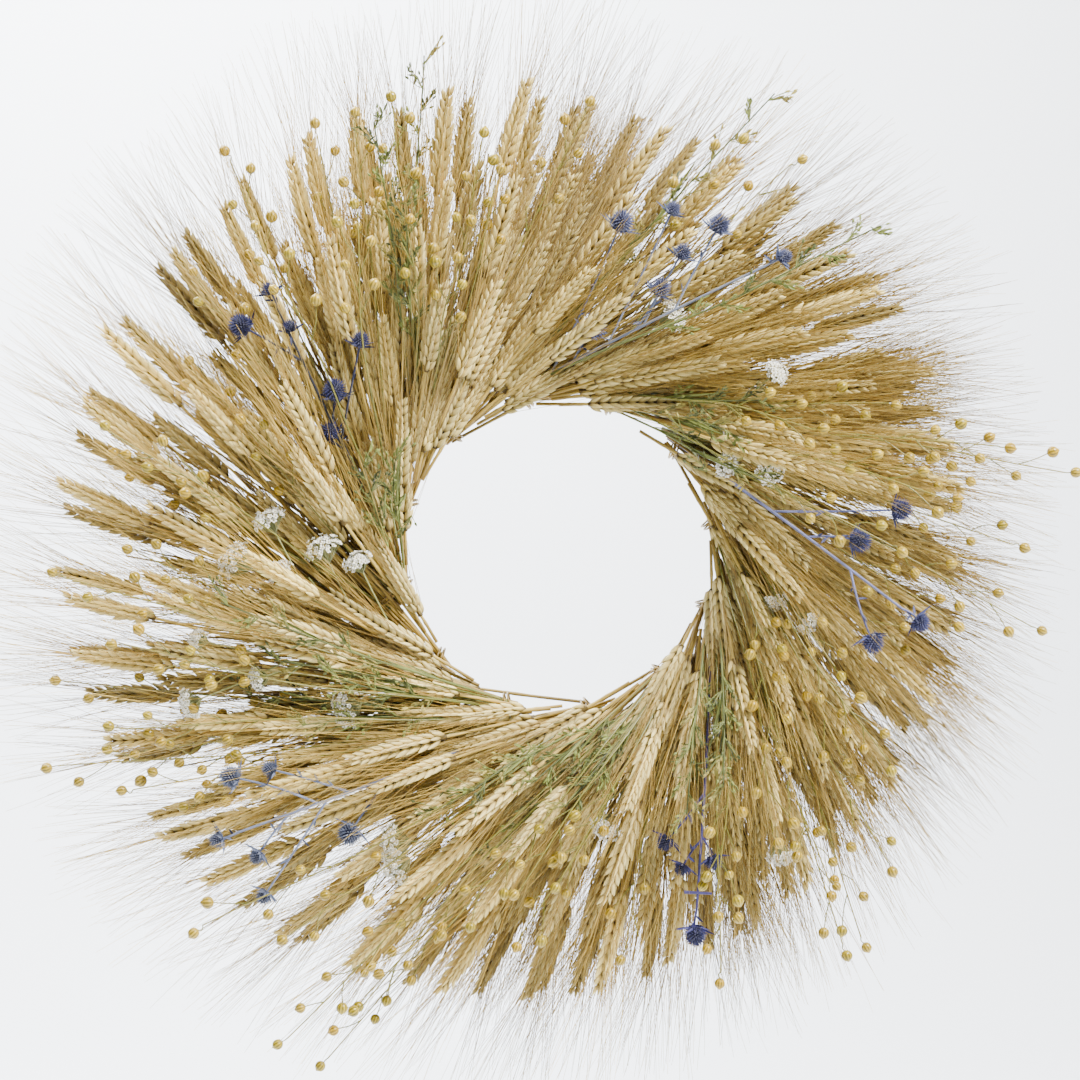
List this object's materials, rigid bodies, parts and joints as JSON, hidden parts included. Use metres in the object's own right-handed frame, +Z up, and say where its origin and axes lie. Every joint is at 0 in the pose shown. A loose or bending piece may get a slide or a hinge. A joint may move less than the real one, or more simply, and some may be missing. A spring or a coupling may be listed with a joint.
{
  "type": "harvest door wreath",
  "caption": "Round door wreath of bearded wheat bundles bound on a hidden wire ring, swept clockwise, with flax, sea holly, white flowers and green filler.",
  "frame": {"origin": "where a nail or hook touches the inside top of the hanging loop", "axes": "+Z up, +X right as seen from the front; the front faces -Y and +Y is towards the door"},
  "size_m": [0.6999, 0.1178, 0.6971],
  "materials": {
    "wheat_straw": "dry straw",
    "flax": "dry, slightly glossy capsules",
    "green_filler": "dried green",
    "sea_holly": "dried blue",
    "white_flowers": "papery",
    "frame_wire": "dark green paint",
    "loop_wire": "galvanised",
    "binding_wire": "dull bronze"
  },
  "bodies": {
    "wreath": {"binding_wires": "binding_wire", "flax_spray_01": "flax", "flax_spray_02": "flax", "flax_spray_03": "flax", "flax_spray_04": "flax", "flax_spray_05": "flax", "flax_spray_06": "flax", "flax_spray_07": "flax", "flax_spray_08": "flax", "flax_spray_09": "flax", "flax_spray_10": "flax", "flax_spray_11": "flax", "flax_spray_12": "flax", "frame_ring": "frame_wire", "green_filler_01": "green_filler", "green_filler_02": "green_filler", "green_filler_05": "green_filler", "green_filler_06": "green_filler", "green_filler_07": "green_filler", "green_filler_08": "green_filler", "green_filler_10": "green_filler", "green_filler_12": "green_filler", "sea_holly_bottom": "sea_holly", "sea_holly_left": "sea_holly", "sea_holly_lower_left": "sea_holly", "sea_holly_right": "sea_holly", "sea_holly_top": "sea_holly", "wheat_bundle_01": "wheat_straw", "wheat_bundle_02": "wheat_straw", "wheat_bundle_03": "wheat_straw", "wheat_bundle_04": "wheat_straw", "wheat_bundle_05": "wheat_straw", "wheat_bundle_06": "wheat_straw", "wheat_bundle_07": "wheat_straw", "wheat_bundle_08": "wheat_straw", "wheat_bundle_09": "wheat_straw", "wheat_bundle_10": "wheat_straw", "wheat_bundle_11": "wheat_straw", "wheat_bundle_12": "wheat_straw", "white_flowers_bottom": "white_flowers", "white_flowers_bottom_left": "white_flowers", "white_flowers_bottom_right": "white_flowers", "white_flowers_left_inner": "white_flowers", "white_flowers_left_string": "white_flowers", "white_flowers_lower_left": "white_flowers", "white_flowers_right_low": "white_flowers", "white_flowers_right_top": "white_flowers", "white_flowers_top": "white_flowers", "white_flowers_top_left": "white_flowers"},
    "loop": {"hanging_loop": "loop_wire"}
  },
  "joints": [
    {"name": "loop_swing", "type": "hinge", "parent": "wreath", "child": "loop", "pos_m": [0, 0, -0.034], "axis": [-1, 0, 0], "range_deg": [0, 100]}
  ]
}
